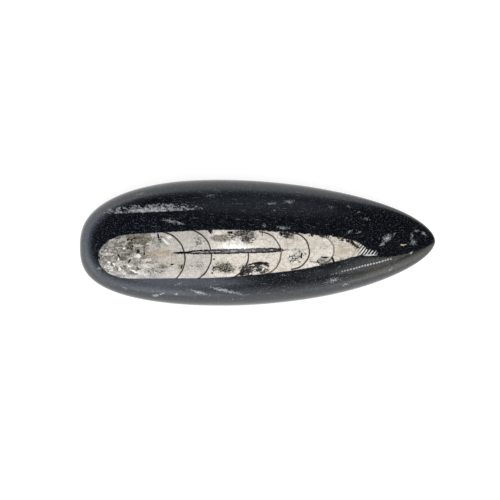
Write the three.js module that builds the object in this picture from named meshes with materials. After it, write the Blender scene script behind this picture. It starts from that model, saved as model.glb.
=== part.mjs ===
// A polished orthoceras fossil: one teardrop of black limestone, ground and polished by hand over the
// pale cone of a straight-shelled cephalopod. The fossil lies flush in the stone, so the whole thing is
// one solid. Units are millimetres, +Z is up, and the origin is the middle of the footprint.
// +X runs from the blunt end to the tip, along the fossil, and +Y is the stone's back edge.
import * as THREE from "three";

// Overall size. The thickness follows from the rim height and the crown height.
const LENGTH = 100;
const WIDTH = 35.6;
const RIM_HEIGHT = 8.5; // of the widest line above the surface the stone lies on
const CROWN_HEIGHT = 11.5; // of the top above the rim

// The plan outline is two superellipse arcs that meet at the widest point.
const WIDEST_AT = 0.4; // share of the length from the blunt end
const BLUNT = { along: 2.25, across: 2.65 };
const TIP = { along: 1.9, across: 1.75 };

// The outline's middle leans off the long axis, to the front at the blunt end and to the back at the tip.
const BLUNT_LEAN = -1.15;
const BLUNT_LEAN_REACH = 0.3;
const TIP_LEAN = 0.45;
const TIP_LEAN_FROM = 0.7;

// The crown's crest, as a share of the half width: behind the middle at the blunt end, a little in
// front of it in the body, and well in front of it where the keel runs to the tip.
const CREST = { blunt: 0.1, body: -0.04, keel: -0.38 };
const CREST_BODY = { from: 0.15, to: 0.5 };
const CREST_KEEL = { at: 0.9, spread: 0.15 };
// Exponent of the crown's section: an even dome in the body, a soft keel towards the tip.
const DOME = 2.1;
const KEEL = 1.45;
const KEEL_FROM = 0.7;
const KEEL_TO = 0.95;

// The underside is a flatter bowl that runs past the ground plane and is lapped flat there.
const BELLY = { along: 0.9, across: 2.5, overrun: 2.6 };
const LAP_EDGE = 1.2; // height over which the flat rounds into the belly

const RINGS = 60; // pole to pole
const SIDES = 44; // around a section

const smooth = (low, high, x) => {
  const s = THREE.MathUtils.clamp((x - low) / (high - low), 0, 1);
  return s * s * (3 - 2 * s);
};

// Share of the full half width at a share t of the length.
function fullness(t) {
  const blunt = t < WIDEST_AT;
  const s = blunt ? (WIDEST_AT - t) / WIDEST_AT : (t - WIDEST_AT) / (1 - WIDEST_AT);
  const arc = blunt ? BLUNT : TIP;
  return Math.max(1 - s ** arc.along, 0) ** (1 / arc.across);
}

function leanOf(t) {
  const blunt = BLUNT_LEAN * Math.max(1 - t / BLUNT_LEAN_REACH, 0) ** 2;
  return blunt + TIP_LEAN * smooth(TIP_LEAN_FROM, 1, t);
}

function crestOf(t) {
  const body = THREE.MathUtils.lerp(CREST.blunt, CREST.body, smooth(CREST_BODY.from, CREST_BODY.to, t));
  const keel = CREST.keel * Math.exp(-(((t - CREST_KEEL.at) / CREST_KEEL.spread) ** 2));
  return ((body + keel) * fullness(t) * WIDTH) / 2;
}

// The larger of a and b, rounded over the height k. It is exactly b once b is k above a.
function roundedMax(a, b, k) {
  const near = Math.max(k - Math.abs(a - b), 0) / k;
  return Math.max(a, b) + (near * near * k) / 4;
}

// The surface point at share t of the length and angle a round the section, 0 at the back rim and
// a quarter turn at the crest.
function surfacePoint(t, a) {
  const full = fullness(t);
  const side = Math.cos(a);
  const up = Math.sin(a);
  const lean = leanOf(t);
  const rimY = lean + (Math.sign(side) * full * WIDTH) / 2;
  const x = (t - 0.5) * LENGTH;
  if (up >= 0) {
    const n = THREE.MathUtils.lerp(DOME, KEEL, smooth(KEEL_FROM, KEEL_TO, t));
    const crest = lean + crestOf(t);
    const y = crest + (rimY - crest) * Math.abs(side) ** (2 / n);
    return new THREE.Vector3(x, y, RIM_HEIGHT + CROWN_HEIGHT * full * up);
  }
  const depth = (RIM_HEIGHT + BELLY.overrun) * full ** BELLY.along;
  const y = lean + (rimY - lean) * Math.abs(side) ** (2 / BELLY.across);
  const z = RIM_HEIGHT - depth * Math.abs(up) ** (2 / BELLY.across);
  return new THREE.Vector3(x, y, roundedMax(z, 0, LAP_EDGE));
}

// A unit sphere with its poles on X gives the mesh, and each vertex moves to the stone's surface.
function stoneGeometry() {
  const sphere = new THREE.SphereGeometry(1, SIDES, RINGS);
  const uv = sphere.getAttribute("uv");
  const position = sphere.getAttribute("position");
  for (let i = 0; i < position.count; i++) {
    const t = (1 - Math.cos(uv.getY(i) * Math.PI)) / 2;
    const turn = position.getY(i) === 1 || position.getY(i) === -1 ? 0 : uv.getX(i);
    const p = surfacePoint(t, (turn % 1) * 2 * Math.PI);
    position.setXYZ(i, p.x, p.y, p.z);
  }
  sphere.deleteAttribute("normal");
  sphere.deleteAttribute("uv");
  return sphere;
}

const blackLimestone = new THREE.MeshStandardMaterial({
  color: 0x17191f,
  roughness: 0.22,
  metalness: 0,
});

const stone = new THREE.Mesh(stoneGeometry(), blackLimestone);
stone.name = "fossil_stone";

const fossil = new THREE.Group();
fossil.add(stone);

export default fossil;
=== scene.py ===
"""Orthoceras fossil: a hand-polished teardrop of black limestone with a straight shell in its top."""

import math

import bpy
from bpy.props import FloatProperty, FloatVectorProperty, IntProperty, PointerProperty
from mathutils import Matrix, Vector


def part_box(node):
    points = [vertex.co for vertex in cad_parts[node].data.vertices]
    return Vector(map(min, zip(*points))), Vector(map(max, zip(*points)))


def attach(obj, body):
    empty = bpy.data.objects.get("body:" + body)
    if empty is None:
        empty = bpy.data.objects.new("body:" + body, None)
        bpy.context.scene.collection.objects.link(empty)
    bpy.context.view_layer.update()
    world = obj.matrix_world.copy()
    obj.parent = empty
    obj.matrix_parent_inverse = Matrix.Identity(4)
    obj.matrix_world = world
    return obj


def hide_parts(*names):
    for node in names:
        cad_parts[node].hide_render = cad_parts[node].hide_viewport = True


bl_info = {
    "name": "Orthoceras fossil",
    "version": (1, 0, 0),
    "blender": (4, 5, 0),
    "location": "3D View > Sidebar > Fossil",
    "description": "Laps a teardrop of black limestone with a calcite shell in it, and sets a soft studio",
    "category": "Object",
}

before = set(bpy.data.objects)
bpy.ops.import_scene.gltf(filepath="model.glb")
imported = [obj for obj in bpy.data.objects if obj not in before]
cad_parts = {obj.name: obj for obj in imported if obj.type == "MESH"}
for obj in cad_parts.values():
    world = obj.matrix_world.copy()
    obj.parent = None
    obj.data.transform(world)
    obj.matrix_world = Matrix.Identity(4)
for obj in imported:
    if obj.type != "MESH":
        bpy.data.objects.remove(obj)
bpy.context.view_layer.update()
STONE_LOW, STONE_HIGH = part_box("fossil_stone")
STONE_SIZE = STONE_HIGH - STONE_LOW

MM = 0.001
PER_MM = 1000.0
RIM_SHARE = 8.5 / 20.0


def linear(hex_code):
    """Turn an sRGB hex colour into the linear values that a shader reads."""
    channels = [int(hex_code[place : place + 2], 16) / 255 for place in (1, 3, 5)]
    return tuple(c / 12.92 if c <= 0.04045 else ((c + 0.055) / 1.055) ** 2.4 for c in channels)


def add_node(tree, kind, inputs=(), **settings):
    """Add one node, give it its settings, and fill or link its inputs by place or by name."""
    node = tree.nodes.new(kind)
    for name, value in settings.items():
        setattr(node, name, value)
    for place, value in inputs.items() if isinstance(inputs, dict) else enumerate(inputs):
        if isinstance(value, bpy.types.Node):
            value = value.outputs[0]
        if isinstance(value, bpy.types.NodeSocket):
            tree.links.new(value, node.inputs[place])
        elif value is not None:
            node.inputs[place].default_value = value
    return node


def bare_tree(owner):
    """Give a material or a world an empty node tree."""
    owner.use_nodes = True
    owner.node_tree.nodes.clear()
    return owner.node_tree


def add_run(tree, known, rows, kind="ShaderNodeMath"):
    """Add a node for each row of (name, operation, inputs), where an input may name an earlier row."""
    for name, operation, *terms in rows:
        inputs = [known[term] if isinstance(term, str) else term for term in terms]
        known[name] = add_node(tree, kind, inputs, operation=operation)


# The stone -----------------------------------------------------------------------------------------


class StoneShape(bpy.types.PropertyGroup):
    """Sizes of the lapped teardrop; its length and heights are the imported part's own."""

    length: FloatProperty(
        name="Length", description="Blunt end to tip", default=STONE_SIZE.x, min=0.02, unit="LENGTH"
    )
    width: FloatProperty(
        name="Width", description="Across the widest place", default=35.6 * MM, min=0.01, unit="LENGTH"
    )
    rim_height: FloatProperty(
        name="Rim height",
        description="Height of the widest line round the stone",
        default=STONE_SIZE.z * RIM_SHARE,
        unit="LENGTH",
    )
    crown_height: FloatProperty(
        name="Crown height",
        description="Rise of the polished dome above the rim",
        default=STONE_SIZE.z * (1 - RIM_SHARE),
        unit="LENGTH",
    )
    widest_at: FloatProperty(
        name="Widest at", description="Share of the length, from the blunt end", default=0.4, min=0.2, max=0.8
    )
    lapping_depth: FloatProperty(
        name="Lapping depth",
        description="How far the hand lapping strays from the true curve",
        default=0.16 * MM,
        min=0,
        unit="LENGTH",
    )
    dish_depth: FloatProperty(
        name="Dish depth",
        description="Depth of the shallow flaked dish beside the tip",
        default=0.22 * MM,
        min=0,
        unit="LENGTH",
    )
    rings: IntProperty(name="Rings", description="Mesh rings along the stone", default=500, min=60, max=560)
    sides: IntProperty(name="Sides", description="Mesh sides round the stone", default=184, min=36, max=200)


# Arithmetic of the outline and the section, from a place along the stone (0 blunt end, 1 tip) and a turn
# round it. The limestone is fullest at "Widest at" and closes to nothing at both ends.
FULLNESS_STEPS = (
    ("to_widest", "SUBTRACT", "widest at", "along"),
    ("blunt_run", "DIVIDE", "to_widest", "widest at"),
    ("blunt_side", "MAXIMUM", "blunt_run", 0.0),
    ("blunt_bend", "POWER", "blunt_side", 2.25),
    ("blunt_rest", "SUBTRACT", 1.0, "blunt_bend"),
    ("blunt_floor", "MAXIMUM", "blunt_rest", 0.0),
    ("blunt_full", "POWER", "blunt_floor", 1 / 2.65),
    ("tip_share", "SUBTRACT", 1.0, "widest at"),
    ("tip_run", "DIVIDE", "to_widest", "tip_share"),
    ("tip_turned", "MULTIPLY", "tip_run", -1.0),
    ("tip_side", "MAXIMUM", "tip_turned", 0.0),
    ("tip_bend", "POWER", "tip_side", 1.9),
    ("tip_rest", "SUBTRACT", 1.0, "tip_bend"),
    ("tip_floor", "MAXIMUM", "tip_rest", 0.0),
    ("tip_full", "POWER", "tip_floor", 1 / 1.75),
    ("full", "MULTIPLY", "blunt_full", "tip_full"),
)
# The outline leans a little to one side at the blunt end and to the other at the tip, and the crest of
# the dome drifts across and sharpens into a soft keel that runs out to the tip.
CREST_STEPS = (
    ("lean_run", "MULTIPLY_ADD", "along", -1 / 0.3, 1.0),
    ("lean_floor", "MAXIMUM", "lean_run", 0.0),
    ("lean_square", "POWER", "lean_floor", 2.0),
    ("blunt_lean", "MULTIPLY", "lean_square", -1.15 * MM),
    ("lean", "ADD", "blunt_lean", "tip lean"),
    ("half_width", "MULTIPLY", "width", 0.5),
    ("half", "MULTIPLY", "half_width", "full"),
    ("keel_run", "MULTIPLY_ADD", "along", 1 / 0.15, -0.9 / 0.15),
    ("keel_square", "POWER", "keel_run", 2.0),
    ("keel_fall", "MULTIPLY", "keel_square", -1.0),
    ("keel_bell", "EXPONENT", "keel_fall"),
    ("crest_share", "MULTIPLY_ADD", "keel_bell", -0.38, "body crest"),
    ("crest", "MULTIPLY_ADD", "crest_share", "half", "lean"),
)
SECTION_STEPS = (
    ("turn", "MULTIPLY", "around", -2 * math.pi),
    ("side", "COSINE", "turn"),
    ("up", "SINE", "turn"),
    ("reach", "ABSOLUTE", "side"),
    ("depth", "ABSOLUTE", "up"),
    ("hand", "SIGN", "side"),
    ("rim", "MULTIPLY_ADD", "hand", "half", "lean"),
    ("is_crown", "GREATER_THAN", "up", 0.0),
    ("crown_power", "DIVIDE", 2.0, "dome"),
    ("crown_reach", "POWER", "reach", "crown_power"),
    ("crown_span", "SUBTRACT", "rim", "crest"),
    ("crown_y", "MULTIPLY_ADD", "crown_span", "crown_reach", "crest"),
    ("crown_rise", "MULTIPLY", "full", "up"),
    ("crown_z", "MULTIPLY_ADD", "crown_rise", "crown height", "rim height"),
    ("belly_reach", "POWER", "reach", 2 / 2.5),
    ("belly_span", "SUBTRACT", "rim", "lean"),
    ("belly_y", "MULTIPLY_ADD", "belly_span", "belly_reach", "lean"),
    ("belly_overrun", "ADD", "rim height", 2.6 * MM),
    ("belly_full", "POWER", "full", 0.9),
    ("belly_depth", "MULTIPLY", "belly_overrun", "belly_full"),
    ("belly_drop", "POWER", "depth", 2 / 2.5),
    ("belly_fall", "MULTIPLY", "belly_depth", "belly_drop"),
    ("belly_line", "SUBTRACT", "rim height", "belly_fall"),
    ("belly_z", "SMOOTH_MAX", "belly_line", 0.0, 1.5 * MM),
    ("centred", "SUBTRACT", "along", 0.5),
    ("stone_x", "MULTIPLY", "centred", "length"),
)
DISH_CENTRE = (45.8 * MM, 0.7 * MM, 0.0)
DISH_HALF = (2.5 * MM, 1.9 * MM, 1.0)


def stone_tree(material):
    """Build the Geometry Nodes tree that laps a grid into the teardrop, closes it and strays it a little."""
    tree = bpy.data.node_groups.new("lapped_teardrop", "GeometryNodeTree")
    for kind, names in (
        ("NodeSocketFloat", ("Length", "Width", "Rim height", "Crown height", "Widest at")),
        ("NodeSocketFloat", ("Lapping depth", "Dish depth")),
        ("NodeSocketInt", ("Rings", "Sides")),
    ):
        for name in names:
            tree.interface.new_socket(name, in_out="INPUT", socket_type=kind)
    tree.interface.new_socket("Geometry", in_out="OUTPUT", socket_type="NodeSocketGeometry")
    sizes = add_node(tree, "NodeGroupInput").outputs
    known = {socket.name.lower(): socket for socket in sizes if socket.name}

    sheet = add_node(
        tree,
        "GeometryNodeMeshGrid",
        {"Size X": 1.0, "Size Y": 1.0, "Vertices X": sizes["Rings"], "Vertices Y": sizes["Sides"]},
    )
    unrolled = add_node(
        tree,
        "GeometryNodeStoreNamedAttribute",
        {"Geometry": sheet, "Name": "OFBake", "Value": sheet.outputs["UV Map"]},
        data_type="FLOAT2",
        domain="CORNER",
    )

    # Rings crowd towards both ends, where the outline turns fastest.
    place = add_node(tree, "GeometryNodeInputPosition")
    flat = add_node(tree, "ShaderNodeSeparateXYZ", (place,))
    known["sheet_x"] = flat.outputs["X"]
    known["sheet_y"] = flat.outputs["Y"]
    add_run(tree, known, (
        ("sweep", "MULTIPLY_ADD", "sheet_x", math.pi, math.pi / 2),
        ("swing", "COSINE", "sweep"),
        ("along", "MULTIPLY_ADD", "swing", -0.5, 0.5),
        ("around", "ADD", "sheet_y", 0.5),
    ))
    for name, start, stop, low, high in (
        ("tip lean", 0.7, 1.0, 0.0, 0.45 * MM),
        ("body crest", 0.15, 0.5, 0.1, -0.04),
        ("dome", 0.7, 0.95, 2.1, 1.45),
    ):
        known[name] = add_node(
            tree,
            "ShaderNodeMapRange",
            {"Value": known["along"], "From Min": start, "From Max": stop, "To Min": low, "To Max": high},
            interpolation_type="SMOOTHSTEP",
        )
    for steps in (FULLNESS_STEPS, CREST_STEPS, SECTION_STEPS):
        add_run(tree, known, steps)
    section = []
    for axis in "yz":
        halves = {0: known["is_crown"], 2: known["belly_" + axis], 3: known["crown_" + axis]}
        section.append(add_node(tree, "ShaderNodeMix", halves))
    lapped = add_node(tree, "ShaderNodeCombineXYZ", (known["stone_x"], *section))
    shaped = add_node(tree, "GeometryNodeSetPosition", {"Geometry": unrolled, "Position": lapped})
    closed = add_node(tree, "GeometryNodeMergeByDistance", {"Geometry": shaped, "Distance": 0.0002 * MM})

    # Hand lapping never leaves a true curve: a broad wander eases in from the surface, never out of it,
    # and fades to nothing at the flat foot. Beside the tip a flake has left a shallow dish.
    spot = add_node(tree, "GeometryNodeInputPosition")
    swell = {"Vector": spot, "Scale": 0.055 * PER_MM, "Detail": 1.5, "Roughness": 0.45}
    known["wander"] = add_node(tree, "ShaderNodeTexNoise", swell)
    height = add_node(tree, "ShaderNodeSeparateXYZ", (spot,))
    known["above_foot"] = add_node(
        tree,
        "ShaderNodeMapRange",
        {"Value": height.outputs["Z"], "From Min": 0.2 * MM, "From Max": 3 * MM},
        interpolation_type="SMOOTHSTEP",
    )
    from_dish = add_node(tree, "ShaderNodeVectorMath", (spot, DISH_CENTRE), operation="SUBTRACT")
    in_dish = add_node(tree, "ShaderNodeVectorMath", (from_dish, DISH_HALF), operation="DIVIDE")
    dish_reach = add_node(tree, "ShaderNodeVectorMath", (in_dish,), operation="LENGTH")
    known["dish_reach"] = dish_reach.outputs["Value"]
    known["dish_side"] = add_node(
        tree,
        "ShaderNodeMapRange",
        {"Value": height.outputs["Z"], "From Min": 8 * MM, "From Max": 9.5 * MM},
    )
    add_run(tree, known, (
        ("bowl_square", "POWER", "dish_reach", 2.0),
        ("bowl_rest", "SUBTRACT", 1.0, "bowl_square"),
        ("bowl", "MAXIMUM", "bowl_rest", 0.0),
        ("bowl_top", "MULTIPLY", "bowl", "dish_side"),
        ("bowl_depth", "MULTIPLY", "bowl_top", "dish depth"),
        ("stray_share", "MULTIPLY", "wander", "above_foot"),
        ("stray", "MULTIPLY", "stray_share", "lapping depth"),
        ("cut", "ADD", "stray", "bowl_depth"),
        ("inwards", "MULTIPLY", "cut", -1.0),
    ))
    outward = add_node(tree, "GeometryNodeInputNormal")
    push = add_node(tree, "ShaderNodeVectorMath", {0: outward, "Scale": known["inwards"]}, operation="SCALE")
    worn = add_node(tree, "GeometryNodeSetPosition", {"Geometry": closed, "Offset": push})
    smooth = add_node(tree, "GeometryNodeSetShadeSmooth", {"Geometry": worn, "Shade Smooth": True})
    real = add_node(tree, "GeometryNodeRealizeInstances", {"Geometry": smooth})
    clad = add_node(tree, "GeometryNodeSetMaterial", {"Geometry": real, "Material": material})
    add_node(tree, "NodeGroupOutput", {"Geometry": clad})
    return tree


def freeze(obj, tree, settings, material):
    """Run a Geometry Nodes tree on an object with these settings, and keep the result as its plain mesh."""
    modifier = obj.modifiers.new(tree.name, "NODES")
    modifier.node_group = tree
    for item in tree.interface.items_tree:
        if item.item_type == "SOCKET" and item.in_out == "INPUT":
            modifier[item.identifier] = getattr(settings, item.name.lower().replace(" ", "_"))
    depsgraph = bpy.context.evaluated_depsgraph_get()
    depsgraph.update()
    mesh = bpy.data.meshes.new_from_object(
        obj.evaluated_get(depsgraph), preserve_all_data_layers=True, depsgraph=depsgraph
    )
    obj.modifiers.clear()
    mesh.materials.clear()
    mesh.materials.append(material)
    obj.data = mesh
    mesh.name = obj.name


# The finish ----------------------------------------------------------------------------------------


class StoneFinish(bpy.types.PropertyGroup):
    """Colours of the limestone and of the minerals in it."""

    limestone: FloatVectorProperty(
        name="Limestone",
        description="Black bituminous limestone, wet-polished",
        default=linear("#07090D"),
        subtype="COLOR",
        min=0,
        max=1,
    )
    cream: FloatVectorProperty(
        name="Cream calcite",
        description="Calcite that fills most chambers of the shell",
        default=linear("#E9E1D4"),
        subtype="COLOR",
        min=0,
        max=1,
    )
    seam: FloatVectorProperty(
        name="Seam",
        description="Dark brown line that marks each wall of the shell's chambers",
        default=linear("#3E3530"),
        subtype="COLOR",
        min=0,
        max=1,
    )


# The shell, in millimetres. It is a cone of chambers; the polish cuts it along its middle. Its chambers
# shorten by one ratio towards the tip, and one crowded wall stands before the living chamber.
SHELL_END = -44.3
SHELL_CAP = -36.0
SHELL_TIP = 30.4
SHELL_WIDEST = -14.0
SHELL_HALF = 6.6
SHELL_AXIS = (-2.77, 0.03)
FIRST_WALL = -12.7
CHAMBER = 10.2
CHAMBER_RATIO = 0.875
CROWDED_WALL = -20.05
WALL_DROP = 0.45
WALL_SPREAD = 1.1
CROWDED_SPREAD = 1.16
SEAM_HALF = 0.2
# How dark each wall's seam is above and below the tube, from the living chamber to the tip.
WALL_SEAMS = ((1.0, 1.0), (0.0, 1.0), (0.95, 0.85), (1.0, 1.0), (0.6, 0.7), (0.35, 0.35))
SHELL_STATIONS = [0.006, 0.018] + [step / 24 for step in range(1, 24)] + [0.98, 0.993]


def shell_half_width(x):
    """Half the width of the shell's cut at x millimetres along the stone."""
    if x < SHELL_CAP:
        cap = (SHELL_CAP - x) / (SHELL_CAP - SHELL_END)
        return 0.925 * SHELL_HALF * max(1 - cap**1.8, 0) ** 0.5
    if x < SHELL_WIDEST:
        return SHELL_HALF * (1 - 0.075 * (SHELL_WIDEST - x) / (SHELL_WIDEST - SHELL_CAP))
    run = min((x - SHELL_WIDEST) / (SHELL_TIP - SHELL_WIDEST), 1)
    return SHELL_HALF * (1 - run**1.6) ** 0.55


# Marks in the stone, each (x, y, half length, half width, turn in degrees, weight), millimetres in plan.
# A weight above 1 gives a mark a solid core; below 1 the noise that eats its edge breaks it up.
MARKS = {
    "iron stain": (
        (-27.0, -2.9, 7.0, 1.9, 2, 1.5), (-23.0, -5.6, 4.4, 2.4, 0, 0.9), (24.4, -2.0, 5.0, 3.6, 0, 1.2),
        (9.5, -0.3, 3.5, 1.2, 0, 0.6), (-11.5, -7.6, 1.4, 0.9, 0, 0.6),
    ),
    "olive marl": (
        (-32.8, 1.1, 5.2, 2.3, 2, 2.2), (-35.0, -0.6, 1.6, 2.0, 0, 1.8), (-23.9, -3.2, 2.4, 0.6, 2, 1.0),
        (-26.0, -6.3, 3.8, 1.4, 0, 0.85), (-25.6, -2.5, 1.6, 0.4, 6, 1.0),
        (-10.0, 1.2, 3.7, 1.3, 0, 2.4), (-9.2, -6.9, 4.3, 2.1, -3, 1.8), (18.3, -5.0, 2.6, 1.4, 10, 1.6),
        (-21.7, -6.4, 1.1, 1.7, -14, 1.0), (-24.6, 1.2, 2.4, 1.3, 0, 0.75),
        (-42.8, -2.6, 1.3, 3.4, -6, 0.9), (22.8, -4.6, 1.8, 0.7, 14, 0.8),
        (-38.4, -4.2, 0.8, 1.6, 20, 1.0), (-31.2, -1.2, 0.8, 2.0, 0, 1.0),
        (26.0, -0.6, 2.2, 0.6, -38, 0.9), (-33.0, -2.4, 0.8, 0.7, 0, 1.1), (8.4, 2.0, 2.4, 1.0, -6, 0.8),
    ),
    "grey spar": (
        (-16.4, 0.4, 2.2, 2.2, 0, 0.9), (-16.6, -6.4, 2.6, 1.4, 0, 0.9), (-38.4, -1.0, 4.4, 2.6, 0, 0.9),
        (-43.2, -2.9, 1.4, 3.8, -6, 0.9), (-3.0, 1.9, 3.4, 2.1, 0, 2.2), (-3.0, 0.4, 1.2, 1.3, 0, 1.6),
        (-6.6, 2.0, 2.6, 1.6, 0, 1.9), (8.5, 2.1, 2.9, 1.3, -8, 2.0), (-3.0, -7.9, 2.6, 2.3, 0, 2.2),
        (1.2, -7.7, 2.6, 1.3, 0, 1.8), (10.9, -3.4, 2.4, 2.2, 0, 0.9), (-9.3, -7.0, 3.8, 1.8, 0, 1.0),
        (-36.8, -6.6, 2.6, 1.8, -25, 0.8), (-26.9, 0.6, 1.0, 2.4, 0, 1.2),
        (-28.0, -8.2, 4.5, 1.2, 0, 0.9), (19.0, -5.0, 2.4, 1.3, 10, 1.1),
        (26.4, -0.3, 2.0, 0.6, -36, 1.3),
    ),
    "white spar": (
        (-32.8, -3.75, 1.0, 0.8, 0, 1.7), (-25.3, 0.3, 1.9, 0.4, -42, 1.6),
        (-24.4, 1.4, 1.6, 1.1, -10, 0.8), (-38.6, -4.5, 0.4, 0.6, 0, 1.2), (18.9, 0.7, 1.4, 0.6, 0, 1.5),
        (16.5, -6.5, 0.8, 0.45, 20, 1.9), (29.0, -2.2, 1.2, 1.0, -20, 1.1),
        (29.6, -3.6, 1.6, 0.3, 0, 1.9), (1.5, -7.4, 0.3, 0.8, -28, 1.5), (0.2, -8.2, 0.6, 0.3, 20, 1.2),
        (-3.6, -7.2, 0.4, 0.3, 0, 1.2), (-2.0, -8.6, 0.5, 0.35, 0, 1.3), (-10.9, 2.6, 2.4, 0.8, 0, 0.9),
        (-4.8, 1.5, 0.4, 0.3, 0, 1.1), (9.6, 2.9, 1.0, 0.4, -10, 1.2), (-39.8, -6.2, 1.3, 0.3, -50, 1.3),
        (-41.2, -5.6, 0.9, 0.8, 0, 0.8), (-38.0, -7.4, 2.4, 1.0, -24, 0.7),
        (-35.6, -6.4, 1.7, 0.8, -30, 0.75), (-36.8, -1.5, 1.0, 0.6, 20, 0.8),
        (-34.2, -7.9, 2.4, 0.5, -20, 1.0),
    ),
    "broken marl": (
        (-4.6, 2.5, 1.8, 0.9, 0, 1.1), (-2.6, 1.4, 2.1, 1.9, 0, 0.62), (-9.6, -7.0, 3.4, 1.5, -3, 0.5),
        (-3.2, -7.7, 2.2, 1.9, 0, 0.75), (-0.6, -6.2, 1.8, 1.2, -10, 1.9),
        (2.2, -6.1, 1.6, 0.8, -12, 1.9), (0.7, -7.6, 2.6, 1.0, -10, 1.0), (8.0, 2.3, 2.2, 1.0, -6, 0.85),
        (15.4, 2.1, 1.5, 0.6, -4, 1.4), (18.6, 1.75, 2.4, 0.6, -8, 1.5), (23.2, 0.9, 1.3, 0.5, -14, 1.5),
        (-35.3, -0.8, 1.1, 1.4, 10, 1.2), (-34.9, 0.7, 1.7, 0.8, 20, 1.1), (9.6, -4.6, 1.6, 0.9, 0, 0.7),
        (24.9, 0.7, 2.0, 0.9, -33, 1.4), (27.3, -0.9, 1.2, 0.5, -35, 1.2),
    ),
    "black marl": (
        (-13.1, 3.3, 0.9, 1.3, 14, 1.5), (-7.5, 2.8, 1.5, 0.6, -5, 1.5), (-2.3, 3.4, 2.2, 0.5, 0, 1.5),
        (-4.4, -8.4, 0.8, 1.4, -10, 1.6), (0.8, -5.7, 2.9, 0.5, 0, 2.0), (6.6, 2.5, 0.45, 0.8, 0, 1.8),
        (5.4, 3.5, 1.2, 0.45, 0, 1.2), (21.8, 1.5, 1.2, 0.3, -18, 1.2),
        (26.4, -0.4, 2.4, 0.34, -37, 1.25), (17.4, 2.3, 2.4, 0.32, -9, 1.2),
        (12.1, -3.6, 0.35, 1.0, -8, 1.9), (13.1, -3.0, 0.7, 0.3, -40, 1.1),
        (11.6, -5.3, 0.6, 0.5, 0, 1.0), (18.6, -4.1, 2.1, 0.4, 2, 1.25),
        (20.8, -4.7, 0.45, 1.3, 24, 1.5), (16.6, -5.4, 0.4, 0.9, 30, 1.3),
        (17.6, -6.0, 1.4, 0.3, -6, 1.1), (-31.2, -2.8, 0.35, 1.7, 2, 0.95),
        (-33.0, -2.4, 0.7, 0.6, 0, 0.85), (-27.3, 1.7, 0.4, 1.6, 12, 1.35),
        (-30.2, -7.2, 1.9, 0.28, -4, 1.0), (-25.9, -6.8, 3.4, 0.18, 4, 0.85),
        (-33.0, -7.2, 1.2, 0.3, -20, 0.85), (-38.3, -3.6, 0.4, 1.1, 20, 1.0),
        (-35.4, -5.1, 0.4, 1.0, -35, 1.15), (-37.7, -7.2, 1.4, 0.3, -50, 0.9),
        (-40.8, -3.9, 1.0, 0.3, 40, 0.75), (-23.4, -6.0, 0.9, 0.3, 12, 1.4),
        (-21.0, -6.8, 0.35, 1.9, -14, 1.3), (-41.6, -2.4, 1.2, 0.3, 50, 0.75),
        (-43.5, -0.9, 0.6, 1.7, -24, 1.0), (-44.0, -4.0, 0.5, 1.5, 12, 1.0),
        (-42.0, 1.3, 1.7, 0.5, 42, 0.9), (1.3, 2.4, 0.2, 1.4, 2, 1.3), (15.4, -5.4, 1.8, 0.2, -6, 1.6),
        (-12.0, -4.6, 0.6, 0.3, 0, 0.9), (-12.6, -8.4, 1.0, 0.4, 40, 0.9),
    ),
    "fleck": (
        (-23.8, 5.9, 3.2, 0.8, -12, 1.15), (-21.6, 5.4, 1.6, 0.6, -14, 1.2),
        (-16.4, -13.8, 3.8, 0.65, -14, 1.25), (-8.9, -13.3, 7.0, 0.7, -13, 1.3),
        (-11.0, -12.9, 2.8, 0.6, -14, 1.3), (-28.4, -14.7, 1.8, 0.5, 3, 1.4),
        (-26.9, -14.3, 1.2, 0.4, 25, 1.3), (-22.5, -14.4, 0.8, 0.5, 0, 1.2),
        (-21.8, -11.4, 1.6, 0.4, 20, 0.9), (8.8, 11.3, 2.2, 0.7, 6, 1.2), (3.9, 10.8, 2.2, 0.6, 8, 0.95),
        (4.5, 8.9, 0.5, 0.4, 0, 1.2), (28.2, 8.5, 0.7, 0.3, 0, 1.6), (25.1, 10.0, 1.0, 0.5, -10, 1.0),
        (20.6, 9.9, 1.2, 0.6, -10, 0.9), (30.2, 6.6, 1.0, 0.5, -10, 1.0), (36.0, 1.2, 2.2, 1.3, 34, 1.5),
        (34.6, -0.4, 1.5, 0.5, 34, 1.2), (38.0, 2.3, 0.9, 0.3, 60, 1.1), (43.4, 0.0, 1.5, 1.2, 20, 1.25),
        (43.0, 1.8, 0.6, 1.5, -16, 1.2), (44.4, 3.3, 1.2, 0.4, 4, 1.3), (46.5, 2.6, 1.2, 0.45, -32, 1.6),
        (42.8, -2.8, 1.2, 0.5, 42, 1.2), (25.6, 3.1, 1.4, 0.4, 28, 1.2), (28.0, 2.9, 1.2, 0.4, 24, 1.1),
        (7.0, 4.1, 2.6, 0.8, -4, 1.15), (1.8, 4.6, 1.2, 0.7, 0, 0.95), (-20.8, 5.0, 0.6, 0.4, 0, 0.9),
        (7.2, -9.0, 1.4, 0.4, 0, 0.9), (21.0, -10.4, 3.2, 0.9, 16, 0.95),
        (24.5, -11.6, 1.5, 0.7, 20, 1.0), (37.0, -7.5, 1.2, 0.5, 40, 0.9),
        (-37.0, -12.6, 1.4, 0.4, -20, 0.9), (-44.0, -7.2, 1.0, 0.7, 0, 0.8),
        (-32.8, 13.5, 2.2, 0.5, 14, 0.9), (-13.0, 13.0, 2.6, 0.7, 0, 0.7),
    ),
    "thin line": ((31.2, -3.5, 2.8, 0.27, 0, 1.8),),
    "sliver": (
        (-29.0, 8.9, 14.0, 1.9, 2, 1.9), (-22.6, 9.0, 6.0, 1.5, 3, 1.7),
    ),
    "rust": ((8.1, -2.0, 1.3, 0.28, 0, 1.4),),
    "ochre": ((40.6, -0.7, 1.2, 0.26, 8, 1.5),),
    "hatch": ((30.4, -2.75, 3.5, 1.05, -3, 1.6),),
}
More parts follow.
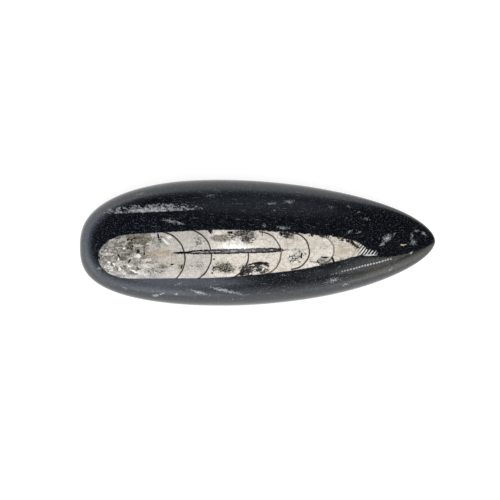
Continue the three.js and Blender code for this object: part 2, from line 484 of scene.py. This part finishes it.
# Marks whose shape keeps its line; a torn edge shifts the others.
STEADY_MARKS = ("black marl", "thin line", "sliver", "hatch")
# What eats each mark's edge, and how deep.
EDGE_NOISES = {
    "iron stain": ("fibre", 3.6),
    "olive marl": ("grain", 2.4),
    "grey spar": ("grain", 3.0),
    "white spar": ("grain", 1.2),
    "broken marl": ("splinters", 2.2),
    "black marl": ("shards", 3.0),
    "fleck": ("grit", 3.4),
    "thin line": ("grit", 0.6),
    "sliver": ("splinters", 2.0),
    "ochre": ("grain", 0.8),
    "rust": ("grit", 1.2),
    "hatch": ("grain", 0.8),
}
# Layers of colour, laid in order: colour, what places it, the range that fades it in, how much of it,
# and what gates it. Calcite first, then the limestone round it.
CALCITE_LAYERS = (
    ("#FAF7F0", "cloud", 0.48, 0.62, 0.75, None),
    ("#B9B0A4", "mottle", 0.5, 0.68, 0.55, None),
    ("#B4B0AA", "blunt half", 0.0, 1.0, 0.62, None),
    ("#96928B", "living", 0.0, 1.0, 0.7, None),
    ("#5E5747", "cloud", 0.5, 0.6, 0.55, "living"),
    ("#D9D5CC", "mottle", 0.48, 0.38, 0.75, "living"),
    ("#4F493D", "mottle", 0.56, 0.66, 0.6, "living"),
    ("#7B746B", "crackle", 0.07, 0.0, 0.4, None),
    ("#56534D", "dark crystals", 0.55, 0.1, 0.78, "living"),
    ("#E2DFD8", "light crystals", 0.55, 0.85, 0.85, "living"),
    ("#706856", "olive marl", 0.35, 0.9, 0.8, None),
    ("#3F3A31", "swirl", 0.05, 0.0, 0.7, "olive marl"),
    ("#5F584D", "swirl", 0.035, 0.0, 0.8, "living"),
    ("#BCAA8F", "iron stain", 0.2, 1.3, 0.68, None),
    ("#7C7872", "grey spar", 0.3, 0.75, 0.9, None),
    ("#26221E", "splinters", 0.42, 0.15, 0.8, "grey spar"),
    ("#D9D4CB", "splinters", 0.56, 0.78, 0.85, "grey spar"),
    ("#57503F", "splinters", 0.3, 0.1, 0.25, "living"),
    ("#6E665D", "grit", 0.54, 0.74, 0.6, None),
    ("#FFFFFF", "grit", 0.44, 0.26, 0.55, None),
    ("#1C1916", "broken marl", 0.5, 0.62, 0.95, None),
    ("#1C1916", "black marl", 0.38, 0.66, 1.0, None),
    ("#8A5C3C", "rust", 0.3, 0.8, 0.8, None),
    ("#F6F4F0", "white spar", 0.35, 0.6, 0.92, None),
)
LIMESTONE_LAYERS = (
    ("#10131B", "mottle", 0.42, 0.68, 0.8, None),
    ("#272C36", "fibre", 0.5, 0.74, 0.8, None),
    ("#9AA1A8", "grit", 0.61, 0.75, 0.5, None),
    ("#9AA3AA", "scratches", 0.66, 0.76, 0.5, None),
    ("#CCD1D2", "sliver", 0.3, 2.1, 0.9, "sliver side"),
    ("#C8CED2", "fleck", 0.4, 1.9, 1.0, None),
    ("#1E2A31", "hatch", 0.05, 0.3, 0.8, None),
    ("#F4F8F7", "hatch", 0.15, 0.7, 0.88, "hatch strokes"),
    ("#DDE2E0", "thin line", 0.4, 0.9, 0.9, None),
    ("#CFCFCD", "vein", 0.4, 0.9, 0.9, "vein line"),
    ("#E2CDA0", "ochre", 0.3, 0.7, 0.9, None),
)
# Noises: name, turn in degrees, grains a millimetre along, across and through, detail, roughness.
NOISES = (
    ("cloud", 0, (0.22, 0.22, 0.22), 3.0, 0.55),
    ("mottle", 0, (0.62, 0.75, 0.75), 4.0, 0.62),
    ("grain", 0, (1.5, 1.6, 1.6), 3.0, 0.6),
    ("grit", 0, (3.4, 3.6, 3.6), 2.0, 0.6),
    ("shards", 20, (1.1, 1.5, 1.5), 3.0, 0.75),
    ("fibre", 4, (0.75, 2.8, 2.8), 4.0, 0.65),
    ("scratches", -6, (0.35, 5.0, 5.0), 2.0, 0.5),
    ("swirl noise", 0, (0.5, 0.55, 0.55), 3.0, 0.5),
    ("ragged x", 0, (1.1, 1.1, 1.1), 3.0, 0.5),
    ("ragged y", 30, (1.2, 1.2, 1.2), 3.0, 0.5),
    ("wavy x", 0, (0.45, 0.45, 0.45), 2.0, 0.5),
    ("wavy y", 30, (0.5, 0.5, 0.5), 2.0, 0.5),
)
# Spar crystals: name, turn in degrees, crystals a millimetre along and across, what is read of them.
CRYSTALS = (
    ("dark crystals", 38, (0.36, 0.95, 1.0), "F1"),
    ("light crystals", -52, (0.4, 1.15, 1.0), "F1"),
    ("splinters", 24, (1.7, 2.7, 1.0), "F1"),
    ("crackle", 15, (0.55, 0.8, 0.8), "DISTANCE_TO_EDGE"),
)
# The calcite past the tip is hatched; its strokes are drawn a little coarser than life, so that they show.
HATCH_SPACING = 0.93
VEIN_AXIS = (-14.0, 0.256)
VEIN_BEAD = 0.8
SLIVER_SLOPE = 0.048
TUBE_START = -23.3
TUBE_LENGTH = 33.0
# Half the tube's width, at places along it.
TUBE_HALVES = ((1.6, 0.36), (4.0, 0.42), (6.0, 0.62), (13.5, 0.73), (26.5, 0.7), (29.5, 0.52), (31.0, 0.1))
TUBE_AXIS = (-2.22, 0.026)


def mark_field(tree, known, kind):
    """How far a place is inside the marks of one kind, with the edge eaten by its noise."""
    place = known["wavy place" if kind in STEADY_MARKS else "ragged place"]
    union = None
    for x, y, half_length, half_width, turn, weight in MARKS[kind]:
        seat = {
            "Vector": place,
            "Location": (x, y, 0.0),
            "Rotation": (0.0, 0.0, math.radians(turn)),
            "Scale": (half_length, half_width, 1.0),
        }
        local = add_node(tree, "ShaderNodeMapping", seat, vector_type="TEXTURE")
        inset = add_node(tree, "ShaderNodeTexGradient", (local,), gradient_type="SPHERICAL").outputs["Fac"]
        mark = add_node(tree, "ShaderNodeMath", (inset, weight), operation="MULTIPLY")
        if union is not None:
            mark = add_node(tree, "ShaderNodeMath", (union, mark), operation="MAXIMUM")
        union = mark
    noise, bite = EDGE_NOISES[kind]
    field = {"union": union, "noise": known[noise]}
    add_run(tree, field, (
        ("inside", "GREATER_THAN", "union", 0.02),
        ("bitten", "MULTIPLY_ADD", "noise", bite, -0.5 * bite),
        ("eaten", "ADD", "union", "bitten"),
        ("kept", "MULTIPLY", "eaten", "inside"),
    ))
    return field["kept"]


def shell_fields(tree, known):
    """Work out where the shell's cut lies, from the place in mm."""
    half = add_node(tree, "ShaderNodeFloatCurve", {"Value": known["shell run"]})
    curve = half.mapping.curves[0]
    curve.points[0].location = (0.0, 0.0)
    curve.points[1].location = (1.0, 0.0)
    for share in SHELL_STATIONS:
        width = shell_half_width(SHELL_END + share * (SHELL_TIP - SHELL_END)) / SHELL_HALF
        curve.points.new(share, width)
    for point in curve.points:
        point.handle_type = "VECTOR"
    half.mapping.update()
    known["half share"] = half
    add_run(tree, known, (
        ("tip past", "SUBTRACT", "x", 24.0),
        ("tip run", "MAXIMUM", "tip past", 0.0),
        ("tip square", "POWER", "tip run", 2.0),
        ("axis line", "MULTIPLY_ADD", "x", SHELL_AXIS[1], SHELL_AXIS[0]),
        ("axis bent", "MULTIPLY_ADD", "tip square", -0.016, "axis line"),
        ("axis", "ADD", "axis bent", "tip lift"),
        ("off axis", "SUBTRACT", "y", "axis"),
        ("off", "ABSOLUTE", "off axis"),
        ("half width", "MULTIPLY", "half share", SHELL_HALF),
        ("inset", "SUBTRACT", "half width", "off"),
        ("upper side", "GREATER_THAN", "off axis", 0.0),
        ("side share", "MULTIPLY_ADD", "upper side", 0.8, 0.2),
        ("fray", "MULTIPLY", "fray reach", "side share"),
        ("frayed", "MULTIPLY_ADD", "grain", "fray", "inset"),
        ("fray half", "MULTIPLY", "fray", 0.5),
        ("cut depth", "SUBTRACT", "frayed", "fray half"),
        ("has shell", "GREATER_THAN", "half share", 0.04),
    ))
    known["cut"] = add_node(
        tree,
        "ShaderNodeMapRange",
        {"Value": known["cut depth"], "From Min": -0.1, "From Max": 0.1, "To Max": known["has shell"]},
        interpolation_type="SMOOTHSTEP",
    )
    add_run(tree, known, (
        ("gap", "MULTIPLY", "hatch gap", "gap share"),
        ("kept", "SUBTRACT", 1.0, "gap"),
        ("whole", "MULTIPLY", "cut", "top"),
        ("shell", "MULTIPLY", "whole", "kept"),
    ))


def wall_seams(tree, known):
    """Draw each chamber wall as the arc of its dish, bowed to the tip; returns the darkness of the lines."""
    walls = [(CROWDED_WALL, 1.0, 1.0, CROWDED_SPREAD, 2.2 * WALL_DROP)]
    x = FIRST_WALL
    length = CHAMBER
    for upper, lower in WALL_SEAMS:
        walls.append((x, upper, lower, WALL_SPREAD, WALL_DROP if x < 10 else 0.0))
        x += length
        length *= CHAMBER_RATIO
    lines = None
    for apex, upper, lower, spread, drop in walls:
        radius = spread * shell_half_width(apex)
        axis = SHELL_AXIS[0] + SHELL_AXIS[1] * apex - drop
        seat = {
            "Vector": known["wavy place"],
            "Location": (apex - radius, axis, 0.0),
            "Scale": (2 * radius, 2 * radius, 1.0),
        }
        local = add_node(tree, "ShaderNodeMapping", seat, vector_type="TEXTURE")
        inset = add_node(tree, "ShaderNodeTexGradient", (local,), gradient_type="SPHERICAL").outputs["Fac"]
        arc = {"inset": inset, "x": known["x"], "y": known["y"]}
        add_run(tree, arc, (
            ("miss", "MULTIPLY_ADD", "inset", 2 * radius, -radius),
            ("distance", "ABSOLUTE", "miss"),
            ("forward", "GREATER_THAN", "x", apex - radius),
            ("is upper", "GREATER_THAN", "y", TUBE_AXIS[0] + TUBE_AXIS[1] * apex),
            ("weight", "MULTIPLY_ADD", "is upper", upper - lower, lower),
            ("shown", "MULTIPLY", "forward", "weight"),
        ))
        line = add_node(
            tree,
            "ShaderNodeMapRange",
            {
                "Value": arc["distance"],
                "From Min": SEAM_HALF + 0.09,
                "From Max": SEAM_HALF - 0.07,
                "To Max": arc["shown"],
            },
            interpolation_type="SMOOTHSTEP",
        )
        if lines is not None:
            line = add_node(tree, "ShaderNodeMath", (lines, line), operation="MAXIMUM")
        lines = line
    return lines


def tube_fields(tree, known):
    """The tube that runs through the chamber walls: two dark walls with a grey filling between them."""
    widths = add_node(tree, "ShaderNodeFloatCurve", {"Value": known["tube run"]})
    curve = widths.mapping.curves[0]
    curve.points[0].location = (0.0, 0.0)
    curve.points[1].location = (1.0, 0.0)
    for place, half in TUBE_HALVES:
        curve.points.new(place / TUBE_LENGTH, half)
    widths.mapping.update()
    known["tube half"] = widths
    add_run(tree, known, (
        ("tube axis", "MULTIPLY_ADD", "x", TUBE_AXIS[1], TUBE_AXIS[0]),
        ("tube off", "SUBTRACT", "wavy y", "tube axis"),
        ("tube away", "ABSOLUTE", "tube off"),
        ("tube rough", "MULTIPLY_ADD", "grit", 0.6, -0.3),
        ("tube edge", "SUBTRACT", "tube half", "tube away"),
        ("tube inset", "ADD", "tube edge", "tube rough"),
        ("tube shards", "ADD", "splinters", "tube dusk"),
    ))
    for name, source, low, high, most in (
        ("tube", "tube inset", -0.02, 0.12, 1.0),
        ("tube core", "tube inset", 0.42, 0.56, 0.9),
        ("tube grain", "tube shards", 0.45, 0.65, "tube core"),
    ):
        known[name] = add_node(
            tree,
            "ShaderNodeMapRange",
            {"Value": known[source], "From Min": low, "From Max": high, "To Max": known.get(most, most)},
            interpolation_type="SMOOTHSTEP",
        )


def place_fields(tree, known, place):
    """Noises, crystals and the warped places that every layer reads, all in mm of the stone."""
    for name, turn, grains, detail, roughness in NOISES:
        turned = add_node(
            tree,
            "ShaderNodeMapping",
            {"Vector": place, "Rotation": (0.0, 0.0, math.radians(turn)), "Scale": grains},
        )
        grain = {"Vector": turned, "Scale": 1.0, "Detail": detail, "Roughness": roughness}
        known[name] = add_node(tree, "ShaderNodeTexNoise", grain)
    axes = add_node(tree, "ShaderNodeSeparateXYZ", (place,)).outputs
    known.update({"x": axes["X"], "y": axes["Y"], "z": axes["Z"]})
    for name, reach in (("ragged", 1.0), ("wavy", 0.5)):
        for axis in "xy":
            warped = name + " " + axis
            steps = (("shift", "MULTIPLY_ADD", warped, reach, -0.5 * reach), (warped, "ADD", "shift", axis))
            add_run(tree, known, steps)
        flat = add_node(tree, "ShaderNodeCombineXYZ", (known[name + " x"], known[name + " y"]))
        known[name + " place"] = add_node(tree, "ShaderNodeMapping", (flat,))
    for name, start, stop, low, high in (
        ("shell run", SHELL_END, SHELL_TIP, 0.0, 1.0),
        ("tube run", TUBE_START, TUBE_START + TUBE_LENGTH, 0.0, 1.0),
        # The shell's edge is clean by the living chamber and frayed towards the tip.
        ("fray reach", -8.0, 20.0, 0.5, 1.6),
        ("tip lift", 14.0, 20.0, 0.0, 0.33),
        ("tube dusk", -14.0, -4.0, -0.15, 0.35),
        ("living", -24.5, -30.5, 0.0, 1.0),
        ("blunt half", -11.0, -14.0, 0.0, 1.0),
    ):
        known[name] = add_node(
            tree,
            "ShaderNodeMapRange",
            {"Value": known["x"], "From Min": start, "From Max": stop, "To Min": low, "To Max": high},
        )
    add_run(tree, known, (("sliver edge", "MULTIPLY_ADD", "x", -SLIVER_SLOPE, "wavy y"),))
    # The shell shows only where the dome was ground down to it, above the rim.
    for name, source, low, high in (("top", "z", 9.0, 9.6), ("sliver side", "sliver edge", 9.75, 10.0)):
        known[name] = add_node(
            tree, "ShaderNodeMapRange", {"Value": known[source], "From Min": low, "From Max": high}
        )
    for name, turn, grains, feature in CRYSTALS:
        turned = add_node(
            tree,
            "ShaderNodeMapping",
            {"Vector": known["ragged place"], "Rotation": (0.0, 0.0, math.radians(turn)), "Scale": grains},
        )
        cells = add_node(tree, "ShaderNodeTexVoronoi", {"Vector": turned, "Scale": 1.0}, feature=feature)
        if feature == "F1":
            known[name] = add_node(tree, "ShaderNodeSeparateColor", (cells.outputs["Color"],))
        else:
            known[name] = cells


def line_fields(tree, known):
    """A thin white vein under the shell, slanting hatches beyond its tip, and curling growth in the spar."""
    add_run(tree, known, (
        ("hatch slant", "MULTIPLY_ADD", "y", -0.8, "wavy x"),
        ("hatch turn", "MULTIPLY", "hatch slant", 2 * math.pi / HATCH_SPACING),
        ("hatch lines", "SINE", "hatch turn"),
        ("vein axis", "MULTIPLY_ADD", "x", VEIN_AXIS[1], VEIN_AXIS[0]),
        ("vein turn", "MULTIPLY", "wavy x", 2 * math.pi / VEIN_BEAD),
        ("vein ticks", "SINE", "vein turn"),
        ("vein off", "SUBTRACT", "wavy y", "vein axis"),
        ("vein away", "ABSOLUTE", "vein off"),
        ("swirl off", "SUBTRACT", "swirl noise", 0.5),
        ("swirl", "ABSOLUTE", "swirl off"),
    ))
    for name, source, low, high in (
        ("vein start", "x", 19.0, 31.0),
        ("vein end", "x", 37.6, 36.8),
        ("vein beads", "vein ticks", -0.9, 0.2),
        ("hatch strokes", "hatch lines", 0.05, 0.75),
        ("vein thin", "vein away", 0.28, 0.06),
        ("hatch gap", "hatch lines", 0.2, -0.4),
        ("gap share", "x", 26.8, 28.8),
    ):
        known[name] = add_node(
            tree, "ShaderNodeMapRange", {"Value": known[source], "From Min": low, "From Max": high}
        )
    add_run(tree, known, (
        ("vein cut", "MULTIPLY", "vein thin", "vein end"),
        ("vein seen", "MULTIPLY", "vein cut", "top"),
        ("vein line", "MULTIPLY", "vein seen", "vein beads"),
        ("vein share", "MULTIPLY_ADD", "vein start", 0.7, -0.33),
        ("vein", "MULTIPLY_ADD", "grain", 1.3, "vein share"),
    ))


def polished_fossil_limestone(finish):
    """Bituminous limestone and calcite, lapped wet on a wheel and waxed: black as ink where nothing is
    reflected, a clear soft sheen round the edge, and pale crystals with fine brown seams in the shell."""
    material = bpy.data.materials.new("fossil_limestone_lapped_and_waxed")
    tree = bare_tree(material)
    known = {}
    coordinates = add_node(tree, "ShaderNodeTexCoord")
    scale = (PER_MM, PER_MM, PER_MM)
    place = add_node(tree, "ShaderNodeMapping", {"Vector": coordinates.outputs["Object"], "Scale": scale})
    place_fields(tree, known, place)
    line_fields(tree, known)
    shell_fields(tree, known)
    tube_fields(tree, known)
    known["seams"] = wall_seams(tree, known)

    coats = []
    for base, layers in ((finish.cream, CALCITE_LAYERS), (finish.limestone, LIMESTONE_LAYERS)):
        colour = (*base, 1.0)
        for hex_code, source, low, high, most, gate in layers:
            if source in MARKS and source not in known:
                known[source] = mark_field(tree, known, source)
            fade = {"Value": known[source], "From Min": low, "From Max": high, "To Max": most}
            mask = add_node(tree, "ShaderNodeMapRange", fade)
            if gate:
                terms = (mask, known[gate])
                mask = add_node(tree, "ShaderNodeMath", terms, operation="MULTIPLY", use_clamp=True)
            mix = {0: mask, 6: colour, 7: (*linear(hex_code), 1.0)}
            colour = add_node(tree, "ShaderNodeMix", mix, data_type="RGBA").outputs[2]
        coats.append(colour)
    calcite, limestone = coats
    for mask, tint in (
        ("seams", finish.seam),
        ("tube", linear("#141114")),
        ("tube core", linear("#9C979B")),
        ("tube grain", linear("#2A2427")),
    ):
        mix = {0: known[mask], 6: calcite, 7: (*tint, 1.0)}
        calcite = add_node(tree, "ShaderNodeMix", mix, data_type="RGBA").outputs[2]
    mix = {0: known["shell"], 6: limestone, 7: calcite}
    tone = add_node(tree, "ShaderNodeMix", mix, data_type="RGBA").outputs[2]

    # Heights in micrometres: limestone pits a little under the lap, calcite takes it smoother and
    # stands a hair lower, and the seams are cut into it.
    height = None
    for name, microns in (("mottle", 22.0), ("grit", 9.0), ("fibre", 16.0)):
        terms = (known[name], microns, 0.0 if height is None else height)
        height = add_node(tree, "ShaderNodeMath", terms, operation="MULTIPLY_ADD")
    calm = add_node(tree, "ShaderNodeMath", (known["shell"], -0.8, 1.0), operation="MULTIPLY_ADD")
    height = add_node(tree, "ShaderNodeMath", (height, calm), operation="MULTIPLY")
    for name, microns in (("shell", 6.0), ("seams", -10.0), ("tube", -10.0)):
        terms = (known[name], microns, height)
        height = add_node(tree, "ShaderNodeMath", terms, operation="MULTIPLY_ADD")
    relief = add_node(tree, "ShaderNodeBump", {"Strength": 1.0, "Distance": 0.001 * MM, "Height": height})

    rough = None
    for name, share in (("shell", 0.01), ("mottle", 0.09), ("fibre", 0.06)):
        terms = (known[name], share, 0.08 if rough is None else rough)
        rough = add_node(tree, "ShaderNodeMath", terms, operation="MULTIPLY_ADD")
    surface = add_node(
        tree,
        "ShaderNodeBsdfPrincipled",
        {
            "Base Color": tone,
            "Roughness": rough,
            "IOR": 1.57,
            "Specular Tint": (0.92, 0.96, 1.0, 1.0),
            "Normal": relief,
        },
    )
    add_node(tree, "ShaderNodeOutputMaterial", {"Surface": surface})
    return material


class FOSSIL_OT_stone(bpy.types.Operator):
    """Lap the limestone teardrop and give it its polish and its fossil."""

    bl_idname = "fossil.stone"
    bl_label = "Polished fossil stone"

    def execute(self, context):
        """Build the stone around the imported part."""
        material = polished_fossil_limestone(context.scene.fossil_finish)
        mesh = bpy.data.meshes.new("polished_fossil_stone")
        stone = bpy.data.objects.new("polished_fossil_stone", mesh)
        context.scene.collection.objects.link(stone)
        freeze(stone, stone_tree(material), context.scene.fossil_shape, material)
        if not stone.data.polygons:
            raise RuntimeError("the lapped stone came out empty")
        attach(stone, "root")
        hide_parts("fossil_stone")
        return {"FINISHED"}


# The studio ----------------------------------------------------------------------------------------


class StudioSettings(bpy.types.PropertyGroup):
    """The light, the table and the camera."""

    view_width: FloatProperty(
        name="View width", description="Width that the camera takes in", default=140.5 * MM, unit="LENGTH"
    )
    lens: FloatProperty(name="Lens", description="Focal length in millimetres", default=135.0, min=20.0)
    surround: FloatProperty(
        name="Surround", description="Brightness of the white screens round the table", default=1.75, min=0.0
    )
    zenith: FloatProperty(
        name="Zenith", description="Brightness of the unlit room overhead", default=0.018, min=0.0
    )
    surround_top: FloatProperty(
        name="Surround top", description="Height of the screens in degrees", default=15.0, min=0.0, max=90.0
    )
    panel: FloatProperty(
        name="Panel", description="Power of the panel that lights without glare", default=4.75, min=0.0
    )
    lamp: FloatProperty(name="Lamp", description="Power of the small window overhead", default=0.21, min=0.0)


# Standing reflectors: heading from the tip side, height and radius in degrees, softness of the edge,
# and brightness. Black flags are the same, with the share of light that they leave.
REFLECTORS = (
    (257, 35, 13, 0.12, 2.0),
    (306, 38, 13.5, 0.1, 1.5),
    (326, 46, 16, 0.1, 1.4),
    (82, 35, 16, 0.4, 0.32),
)
FLAGS = (
    (278, 15, 15, 0.3, 0.42),
    (112, 20, 18, 0.5, 0.25),
    (30, 0, 34, 0.4, 0.1),
    (236, 12, 16, 0.5, 0.72),
)
# The screens fade into the room over this many degrees to either side of their top.
SCREEN_FADE = 14.0
COOL = (0.9, 0.98, 1.14, 1.0)
NEAR_COOL = (0.95, 0.985, 1.06, 1.0)
WARM = (1.08, 1.0, 0.87, 1.0)
WARM_CORNER = (0.97, -0.2, 0.0)
TABLE_REACH = 1.2
TABLE_GLOW = 0.86
# Just past the tip the table no longer shows in the stone's polish, where the room's dark side does.
MIRROR_END = 0.0715


def screen_world(studio):
    """White screens stand all round the table, higher in front than behind, under a dark ceiling."""
    world = bpy.data.worlds.new("screens_and_ceiling")
    tree = bare_tree(world)
    direction = add_node(tree, "ShaderNodeTexCoord").outputs["Generated"]
    known = {"rise": add_node(tree, "ShaderNodeSeparateXYZ", (direction,)).outputs["Z"]}
    for name, pull in (("forward", (0.0, -6.0, 0.0)), ("window_side", (-0.75, -1.05, 0.0))):
        dot = add_node(tree, "ShaderNodeVectorMath", (direction, pull), operation="DOT_PRODUCT")
        known[name] = dot.outputs["Value"]
    add_run(tree, known, (
        ("angle", "ARCSINE", "rise"),
        ("degrees", "DEGREES", "angle"),
        ("limit", "ADD", "forward", studio.surround_top),
        ("above", "SUBTRACT", "degrees", "limit"),
        ("level", "ADD", "window_side", studio.surround),
    ))
    known["light"] = add_node(
        tree,
        "ShaderNodeMapRange",
        {
            "Value": known["above"],
            "From Min": SCREEN_FADE,
            "From Max": -SCREEN_FADE,
            "To Min": studio.zenith,
            "To Max": known["level"],
        },
        interpolation_type="SMOOTHSTEP",
    )
    for spots, operation, clear in ((REFLECTORS, "MAXIMUM", 0.0), (FLAGS, "MULTIPLY", 1.0)):
        for heading, height, radius, softness, brightness in spots:
            heading = math.radians(heading)
            level = math.cos(math.radians(height))
            aim = (level * math.cos(heading), level * math.sin(heading), math.sin(math.radians(height)))
            facing = add_node(tree, "ShaderNodeVectorMath", (direction, aim), operation="DOT_PRODUCT")
            patch = add_node(
                tree,
                "ShaderNodeMapRange",
                {
                    "Value": facing.outputs["Value"],
                    "From Min": math.cos(math.radians(radius * (1 + softness))),
                    "From Max": math.cos(math.radians(radius * (1 - softness))),
                    "To Min": clear,
                    "To Max": brightness,
                },
                interpolation_type="SMOOTHSTEP",
            )
            known["light"] = add_node(tree, "ShaderNodeMath", (known["light"], patch), operation=operation)
    # The screens are a little blue at the back and on the left, and warm by the tip.
    near = add_node(tree, "ShaderNodeMapRange", {"Value": known["forward"], "From Min": 0.0, "From Max": 5.0})
    shade = {0: near, 6: COOL, 7: NEAR_COOL}
    cool = add_node(tree, "ShaderNodeMix", shade, data_type="RGBA").outputs[2]
    dot = add_node(tree, "ShaderNodeVectorMath", (direction, WARM_CORNER), operation="DOT_PRODUCT")
    corner = {"Value": dot.outputs["Value"], "From Min": 0.22, "From Max": 0.6}
    warmth = add_node(tree, "ShaderNodeMapRange", corner)
    warm = {0: warmth, 6: cool, 7: WARM}
    tint = add_node(tree, "ShaderNodeMix", warm, data_type="RGBA").outputs[2]
    background = add_node(tree, "ShaderNodeBackground", {"Color": tint, "Strength": known["light"]})
    add_node(tree, "ShaderNodeOutputWorld", {"Surface": background})
    return world


def opal_table():
    """Opal acrylic lit from below, strongest at the left and the front: white, with a breath of shadow."""
    material = bpy.data.materials.new("opal_acrylic_light_table")
    tree = bare_tree(material)
    place = add_node(tree, "ShaderNodeTexCoord").outputs["Object"]
    axes = add_node(tree, "ShaderNodeSeparateXYZ", (place,)).outputs
    glow = TABLE_GLOW
    for axis, near, far, extra in (("X", -0.045, -0.11, 0.7), ("Y", -0.02, -0.08, 0.25)):
        ramp = {"Value": axes[axis], "From Min": near, "From Max": far, "To Max": extra}
        more = add_node(tree, "ShaderNodeMapRange", ramp)
        glow = add_node(tree, "ShaderNodeMath", (more, glow), operation="ADD")
    sheet_tone = (*linear("#8C8C8C"), 1.0)
    sheet = add_node(
        tree,
        "ShaderNodeBsdfPrincipled",
        {
            "Base Color": sheet_tone,
            "Roughness": 0.6,
            "Specular IOR Level": 0.0,
            "Emission Color": (1.0, 1.0, 1.0, 1.0),
            "Emission Strength": glow,
        },
    )
    add_node(tree, "ShaderNodeOutputMaterial", {"Surface": sheet})
    return material


class FOSSIL_OT_studio(bpy.types.Operator):
    """Set the table, the screens, the lamp and the camera."""

    bl_idname = "fossil.studio"
    bl_label = "Studio and camera"

    def execute(self, context):
        """Build the stage round the stone."""
        studio = context.scene.fossil_studio
        scene = context.scene

        acrylic = opal_table()
        edges = (-TABLE_REACH, MIRROR_END, TABLE_REACH)
        for name, start, end in zip(("light_table", "far_light_table"), edges, edges[1:]):
            table = bpy.data.meshes.new(name)
            corners = [(x, y, 0.0) for y in (-TABLE_REACH, TABLE_REACH) for x in (start, end)]
            table.from_pydata(corners, [], [(0, 1, 3, 2)])
            table.materials.append(acrylic)
            floor = bpy.data.objects.new(name, table)
            floor.visible_glossy = end == MIRROR_END
            scene.collection.objects.link(floor)

        scene.world = screen_world(studio)

        window = bpy.data.lights.new("overhead_window", "AREA")
        window.shape = "RECTANGLE"
        window.size = 0.024
        window.size_y = 0.022
        window.energy = studio.lamp
        lamp = bpy.data.objects.new("overhead_window", window)
        lamp.location = (0.013, -0.027, 0.72)
        scene.collection.objects.link(lamp)

        panel = bpy.data.lights.new("polarised_panel", "AREA")
        panel.shape = "RECTANGLE"
        panel.size = 0.5
        panel.size_y = 0.4
        panel.energy = studio.panel
        filtered = bpy.data.objects.new("polarised_panel", panel)
        filtered.location = (0.0, -0.1, 0.9)
        filtered.visible_glossy = False
        scene.collection.objects.link(filtered)

        view = bpy.data.cameras.new("camera_overhead")
        view.lens = studio.lens
        view.sensor_width = 36.0
        view.clip_start = 0.01
        view.clip_end = 20.0
        camera = bpy.data.objects.new("camera_overhead", view)
        distance = studio.view_width * studio.lens / view.sensor_width
        camera.location = (-2.12 * MM, -2.05 * MM, STONE_SIZE.z * RIM_SHARE + distance)
        scene.collection.objects.link(camera)
        scene.camera = camera
        scene.view_settings.view_transform = "Standard"
        return {"FINISHED"}


class FOSSIL_PT_sidebar(bpy.types.Panel):
    """Lists the stone and the studio with their settings."""

    bl_idname = "FOSSIL_PT_sidebar"
    bl_label = "Orthoceras fossil"
    bl_space_type = "VIEW_3D"
    bl_region_type = "UI"
    bl_category = "Fossil"

    def draw(self, context):
        """Show each operator above the settings it reads."""
        for operator, groups in (
            (FOSSIL_OT_stone, ("fossil_shape", "fossil_finish")),
            (FOSSIL_OT_studio, ("fossil_studio",)),
        ):
            box = self.layout.box()
            box.operator(operator.bl_idname)
            for group in groups:
                settings = getattr(context.scene, group)
                for name in settings.__annotations__:
                    box.prop(settings, name)


CLASSES = (StoneShape, StoneFinish, StudioSettings, FOSSIL_OT_stone, FOSSIL_OT_studio, FOSSIL_PT_sidebar)
SETTINGS = {"fossil_shape": StoneShape, "fossil_finish": StoneFinish, "fossil_studio": StudioSettings}


def register():
    """Register the classes and hang their settings on the scene."""
    for cls in CLASSES:
        bpy.utils.register_class(cls)
    for name, group in SETTINGS.items():
        setattr(bpy.types.Scene, name, PointerProperty(type=group))


def unregister():
    """Take the settings and the classes away again."""
    for name in SETTINGS:
        delattr(bpy.types.Scene, name)
    for cls in reversed(CLASSES):
        bpy.utils.unregister_class(cls)


def main():
    """Build the stone and the studio."""
    register()
    bpy.ops.fossil.stone()
    bpy.ops.fossil.studio()


if __name__ == "__main__":
    main()
